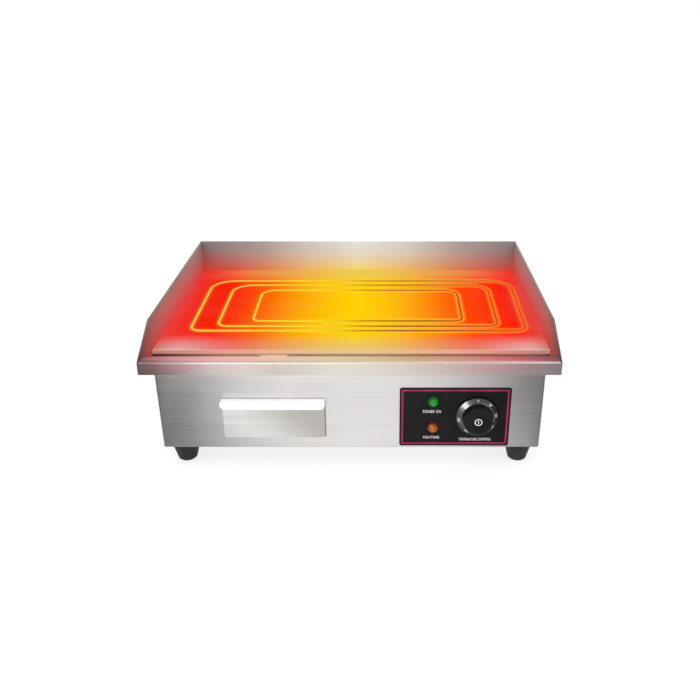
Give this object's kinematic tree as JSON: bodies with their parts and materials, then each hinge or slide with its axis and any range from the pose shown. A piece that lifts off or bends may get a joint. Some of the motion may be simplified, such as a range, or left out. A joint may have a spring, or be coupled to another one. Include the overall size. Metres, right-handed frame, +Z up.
{
  "type": "electric griddle",
  "caption": "Countertop electric griddle: flat steel plate inside folded splash guards, front grease gutter, pull-out grease drawer, thermostat knob, indicator lamps and rubber feet.",
  "frame": {"origin": "on the table under the middle of the overall box", "axes": "+X towards the knob side, across the plate; +Y towards the back guard; +Z up"},
  "size_m": [0.55, 0.424, 0.2056],
  "materials": {
    "stainless": "brushed stainless sheet",
    "plate_steel": "ground steel cooking plate",
    "handle_steel": "bright polished stainless",
    "galvanised": "zinc-coated sheet",
    "fastener_steel": "zinc-plated steel",
    "foot_rubber": "matt black rubber",
    "label_black": "black printed label",
    "lens_green": "translucent green",
    "lens_amber": "translucent amber",
    "black_plastic": "moulded black",
    "skirt_metal": "spun metal ring with printed numbers",
    "brass": "turned brass",
    "ceramic_white": "glazed insulator",
    "board_fibre": "rigid ceramic fibre",
    "element_sheath": "heat-darkened sheath",
    "copper": "drawn copper",
    "gland_nylon": "moulded nylon",
    "seal_rubber": "soft black rubber",
    "wire_brown": "brown insulation",
    "wire_blue": "blue insulation",
    "wire_green_yellow": "green and yellow insulation"
  },
  "bodies": {
    "griddle": {"griddle_plate": "plate_steel", "left_guard": "stainless", "right_guard": "stainless", "rear_guard": "stainless", "front_gutter": "stainless", "drain_spout": "stainless", "left_rail": "stainless", "right_rail": "stainless", "rear_rail": "stainless", "housing_shell": "stainless", "rear_panel": "stainless", "bottom_plate": "galvanised", "foot_front_left": "foot_rubber", "foot_front_right": "foot_rubber", "foot_back_left": "foot_rubber", "foot_back_right": "foot_rubber", "foot_screws": "fastener_steel", "foot_washers": "fastener_steel", "foot_nuts": "fastener_steel", "panel_screws": "fastener_steel", "floor_screws": "fastener_steel", "drawer_rail_left": "galvanised", "drawer_rail_right": "galvanised", "control_label": "label_black", "power_lamp_lens": "lens_green", "heat_lamp_lens": "lens_amber", "lamp_bodies": "ceramic_white", "lamp_nuts": "fastener_steel", "thermostat_body": "ceramic_white", "thermostat_screws": "fastener_steel", "thermostat_tabs": "brass", "capillary_tube": "copper", "sensing_bulb": "copper", "bulb_clip": "galvanised", "heating_element_outer": "element_sheath", "heating_element_middle": "element_sheath", "heating_element_inner": "element_sheath", "element_terminals": "fastener_steel", "clamp_bars": "galvanised", "plate_studs": "fastener_steel", "stud_nuts": "fastener_steel", "insulation_board": "board_fibre", "insulation_pan": "galvanised", "gland_body": "gland_nylon", "gland_locknut": "gland_nylon", "gland_seal": "seal_rubber", "gland_cap": "gland_nylon", "terminal_block": "ceramic_white", "block_screws": "brass", "earth_stud_and_nut": "brass", "wires_live": "wire_brown", "wire_neutral": "wire_blue", "wire_earth": "wire_green_yellow"},
    "drawer": {"drawer_front": "handle_steel", "drawer_tray": "stainless"},
    "knob": {"dial_skirt": "skirt_metal", "knob_grip": "black_plastic", "knob_bush": "brass", "knob_cap": "black_plastic", "thermostat_spindle": "fastener_steel"}
  },
  "joints": [
    {"name": "drawer_slide", "type": "slide", "parent": "griddle", "child": "drawer", "axis": [0, -1, 0], "range_m": [0, 0.225]},
    {"name": "knob_turn", "type": "hinge", "parent": "griddle", "child": "knob", "pos_m": [0.1693, -0.2, 0.0796], "axis": [0, 1, 0], "range_deg": [0, 290]}
  ]
}
